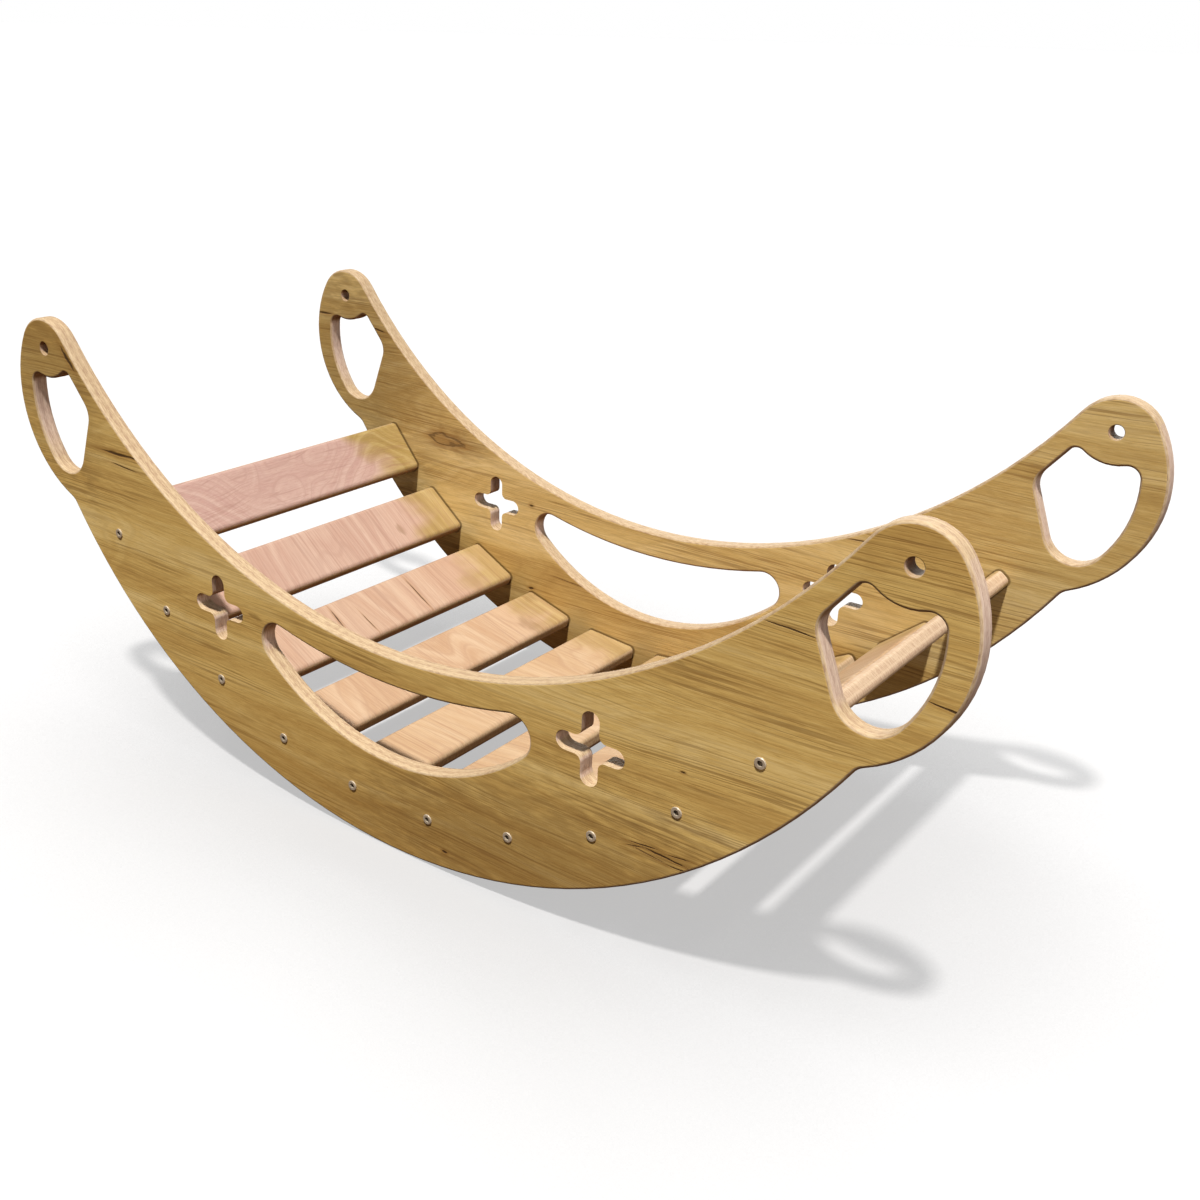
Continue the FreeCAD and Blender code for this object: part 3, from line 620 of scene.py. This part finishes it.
def slat_turn(node):
    """A slat's angle about the rocker's axis."""
    low, high = (Vector(corner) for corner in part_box(node))
    middle = (low + high) / 2
    return math.atan2(middle.x, ROCKER_RADIUS - middle.z)


def slat_face(finish, number, length, width, rightward, seed):
    """A slat's face: grain along the first one and across the others, rosy at the left, and gold far ends of
    painted shade and bounce light from the far panel.
    """
    along, across = (finish.scaled(length, FIRST_SLAT_STRETCH), width) if number == 1 else (width, length)
    tone, lines, pores = oak_grain(finish, along, across, seed, SLAT_FIGURE)
    palettes = (ROSE_OAK, PEACH_OAK, FAR_END_SHADE_GOLD)
    rose, peach, gold = (finish.ramp(tone, OAK_TONES, palette) for palette in palettes)
    wood = finish.mix(min(1.0, PEACH_GAIN * rightward), rose, peach)
    cloud = finish.grain(length, width, CLOUD_PITCH, seed)
    toward_far = finish.scaled(cloud, CLOUD_DEPTH, length)
    past_left = min(1.0, GOLD_GAIN * rightward)
    border = GOLD_BORDER + GOLD_BORDER_SHIFT * past_left
    # Painted shade and bounce light from the far panel turn the far end gold
    far_end_shade = finish.step(toward_far, border, border + GOLD_BLUR)
    wood = finish.mix(finish.scaled(far_end_shade, 1.0 - GOLD_LOSS * past_left), wood, gold)
    return oak_face(finish, wood, lines, pores, ROSE_LINE, SLAT_LINE_SHARE)


def slat_edge(finish, depth, turn, rightward, seed):
    """A slat's edge, rosier on the last slats."""
    from_inside = ROCKER_RADIUS * math.cos(turn) - SLAT_RADIUS + BOARD_THICKNESS / 2
    through = finish.scaled(depth, 1 / BOARD_THICKNESS, from_inside / BOARD_THICKNESS)
    among_last = max(0.0, LAST_SLATS * rightward - LAST_SLATS + 1)
    return board_edge(finish, through, SLAT_EDGE, SLAT_ROSY + SLAT_ROSY_GAIN * among_last, seed)


def slat_finish(number):
    """A slat of the same board: its marks on the upper side, and dark lines of painted contact shade where it
    meets the panels.
    """
    node = slat_name(number)
    finish = Finish(node)
    turn = slat_turn(node)
    outward = (math.sin(turn), 0.0, -math.cos(turn))
    sideways = (math.cos(turn), 0.0, math.sin(turn))
    seed = SLAT_SEED + SLAT_SEED_STEP * number
    rightward = (number - 1) / (SLAT_COUNT - 1)
    length = finish.dot(finish.place, BACK)
    width = finish.scaled(finish.dot(finish.place, sideways), 1.0, -ROCKER_RADIUS * math.sin(turn))
    facing = finish.dot(finish.normal, outward)
    face = slat_face(finish, number, length, width, rightward, seed)
    marks = (SLAT_SPLITS.get(number, ()), (), SLAT_STAINS_AND_SHADE.get(number, ()))
    upper_side = finish.step(facing, *reversed(SIDE_RISE))
    face = mark_face(finish, face, width, length, upper_side, marks)
    edge = slat_edge(finish, finish.dot(finish.place, outward), turn, rightward, seed)
    # Painted contact shade at the slat's ends, where they meet the panels
    end_shade = finish.step(finish.math("ABSOLUTE", length), *SLAT_END_SHADE_RISE)
    end_shade = finish.scaled(end_shade, SLAT_END_SHADE_SHARE)
    face, edge = (tinted(finish, surface, end_shade, CONTACT_SHADE_DARK) for surface in (face, edge))
    return join_faces(finish, face, edge, finish.math("ABSOLUTE", facing), SLAT_FACE_RISE)


def screw_finish():
    """Nickel-plated steel with fine turning marks, dull, and with painted shade down in the socket."""
    finish = Finish("nickel")
    marks = finish.noise(finish.stretched(TURNING_PITCH), detail=3.0)
    outer = finish.math("ABSOLUTE", finish.dot(finish.place, BACK))
    # Painted shade: the socket turns dark below the head's top
    socket_shade = finish.scaled(finish.step(outer, *SOCKET_FADE), SOCKET_SHADE_SHARE)
    colour = finish.mix(marks, linear(NICKEL_DULL), linear(NICKEL))
    colour = finish.mix(socket_shade, colour, linear(SOCKET_SHADE))
    finish.shader.inputs["Metallic"].default_value = NICKEL_METALLIC
    finish.emboss(marks, NICKEL_BUMP)
    return finish.finish(colour, finish.scaled(marks, FINE_ROUGHNESS, NICKEL_ROUGHNESS))


def dowel_finish():
    """Turned beech with short flecks along its length."""
    finish = Finish("beech")
    flecks = finish.noise(finish.stretched(FLECK_PITCH), detail=3.0)
    finish.emboss(flecks, BEECH_BUMP)
    colour = finish.ramp(flecks, BEECH_TONES, BEECH)
    return finish.finish(colour, finish.scaled(flecks, FINE_ROUGHNESS, BEECH_ROUGHNESS))


def dress(node, material):
    """Puts a material in all of a node's slots."""
    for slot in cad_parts[node].material_slots:
        slot.material = material


def dress_all():
    """Gives each node its finish."""
    front_marks = (FRONT_SPLITS, (), FRONT_STAINS_AND_SHADE)
    back_marks = (BACK_SPLITS, BACK_KNOTS, BACK_STAINS_AND_SHADE)
    front = panel_finish("front_board", FRONT_SEED, FRONT_OAK, FRONT_EDGE, front_marks, BACK)
    back = panel_finish("back_board", BACK_SEED, BACK_OAK, BACK_EDGE, back_marks, FRONT)
    dress("side_panel_front", front)
    dress("side_panel_back", back)
    for number in range(1, SLAT_COUNT + 1):
        dress(slat_name(number), slat_finish(number))
    shared = {"screw": screw_finish(), "dowel": dowel_finish()}
    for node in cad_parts:
        kind = node.split("_")[0]
        if kind in shared:
            dress(node, shared[kind])


def add_floor():
    """A wide pale floor that glows softly, with a faint unevenness and a shade of its own near the object."""
    bpy.ops.mesh.primitive_plane_add(size=FLOOR_SIZE)
    floor = bpy.context.object
    floor.name = "floor"
    finish = Finish("floor_white")
    unevenness = finish.scaled(finish.noise(finish.place), FLOOR_UNEVENNESS)
    colour = finish.mix(unevenness, linear(FLOOR_WHITE), linear(BACKDROP_WHITE))
    shade = finish.add("AmbientOcclusion", {"Distance": FLOOR_SHADE_REACH}, samples=FLOOR_SHADE_SAMPLES)
    openness = finish.step(shade.outputs["AO"], *FLOOR_SHADE_RISE)
    glow = finish.scaled(openness, FLOOR_SHADE_DEPTH, 1.0 - FLOOR_SHADE_DEPTH)
    finish.shader.inputs["Emission Color"].default_value = linear(FLOOR_GLOW)
    finish.feed(finish.shader.inputs["Emission Strength"], glow)
    floor.data.materials.append(finish.finish(colour, FLOOR_ROUGHNESS))
    floor.visible_diffuse = False
    floor.visible_glossy = False


def add_light(data, colour, toward):
    """Puts a light in the scene that shines from one direction, and gives its object."""
    data.color = linear(colour, alpha=False)
    light = bpy.data.objects.new(data.name, data)
    light.rotation_euler = Vector(toward).to_track_quat("Z", "Y").to_euler()
    bpy.context.scene.collection.objects.link(light)
    return light


def far_light(name, spread_angle, power):
    """A light that is far away."""
    data = bpy.data.lights.new(name, "SUN")
    data.energy = power
    data.angle = math.radians(spread_angle)
    return data


def add_lights():
    """The main light high in front, a low soft one for the object's back, and a wide one at its right."""
    add_light(far_light("key", KEY_SPREAD, KEY_POWER), KEY_COLOUR, KEY_TOWARD)
    back = far_light("back", BACK_SPREAD, BACK_POWER)
    back.specular_factor = BACK_GLOSS
    add_light(back, KEY_COLOUR, BACK_TOWARD)
    fill = bpy.data.lights.new("fill", "AREA")
    fill.size = FILL_SIZE
    fill.energy = FILL_POWER
    add_light(fill, FILL_COLOUR, FILL_PLACE).location = FILL_PLACE


def add_sky():
    """A white backdrop, the soft light of the studio all round, and the dim light that comes from below."""
    world = bpy.data.worlds.new("studio")
    world.use_nodes = True
    nodes = world.node_tree.nodes
    links = world.node_tree.links
    place = nodes.new("ShaderNodeTexCoord")
    parts = nodes.new("ShaderNodeSeparateXYZ")
    height = nodes.new("ShaderNodeMapRange")
    height.inputs["From Min"].default_value = -1.0
    ramp = nodes.new("ShaderNodeValToRGB")
    fill_ramp(ramp, SKY_LEVELS, SKY_COLOURS)
    links.new(place.outputs["Generated"], parts.inputs[0])
    links.new(parts.outputs["Z"], height.inputs["Value"])
    links.new(height.outputs[0], ramp.inputs[0])
    links.new(ramp.outputs[0], nodes["Background"].inputs["Color"])
    backdrop = nodes.new("ShaderNodeBackground")
    backdrop.inputs["Color"].default_value = linear(BACKDROP_WHITE)
    seen = nodes.new("ShaderNodeLightPath").outputs["Is Camera Ray"]
    choice = nodes.new("ShaderNodeMixShader")
    for number, output in enumerate((seen, nodes["Background"].outputs[0], backdrop.outputs[0])):
        links.new(output, choice.inputs[number])
    links.new(choice.outputs[0], nodes["World Output"].inputs["Surface"])
    bpy.context.scene.world = world


def add_camera():
    """The camera at the photograph's viewing angle."""
    data = bpy.data.cameras.new("camera")
    data.lens = CAMERA_LENS
    data.sensor_width = CAMERA_SENSOR
    data.shift_x, data.shift_y = CAMERA_SHIFT
    camera = bpy.data.objects.new("camera", data)
    camera.location = CAMERA_PLACE
    turn = Euler((math.radians(90 - CAMERA_ELEVATION), 0.0, math.radians(CAMERA_AZIMUTH))).to_matrix()
    roll = Euler((0.0, 0.0, math.radians(CAMERA_ROLL))).to_matrix()
    camera.rotation_euler = (turn @ roll).to_euler()
    bpy.context.scene.collection.objects.link(camera)
    bpy.context.scene.camera = camera


dress_all()
add_floor()
add_sky()
add_lights()
add_camera()
bpy.context.scene.view_settings.view_transform = "Standard"
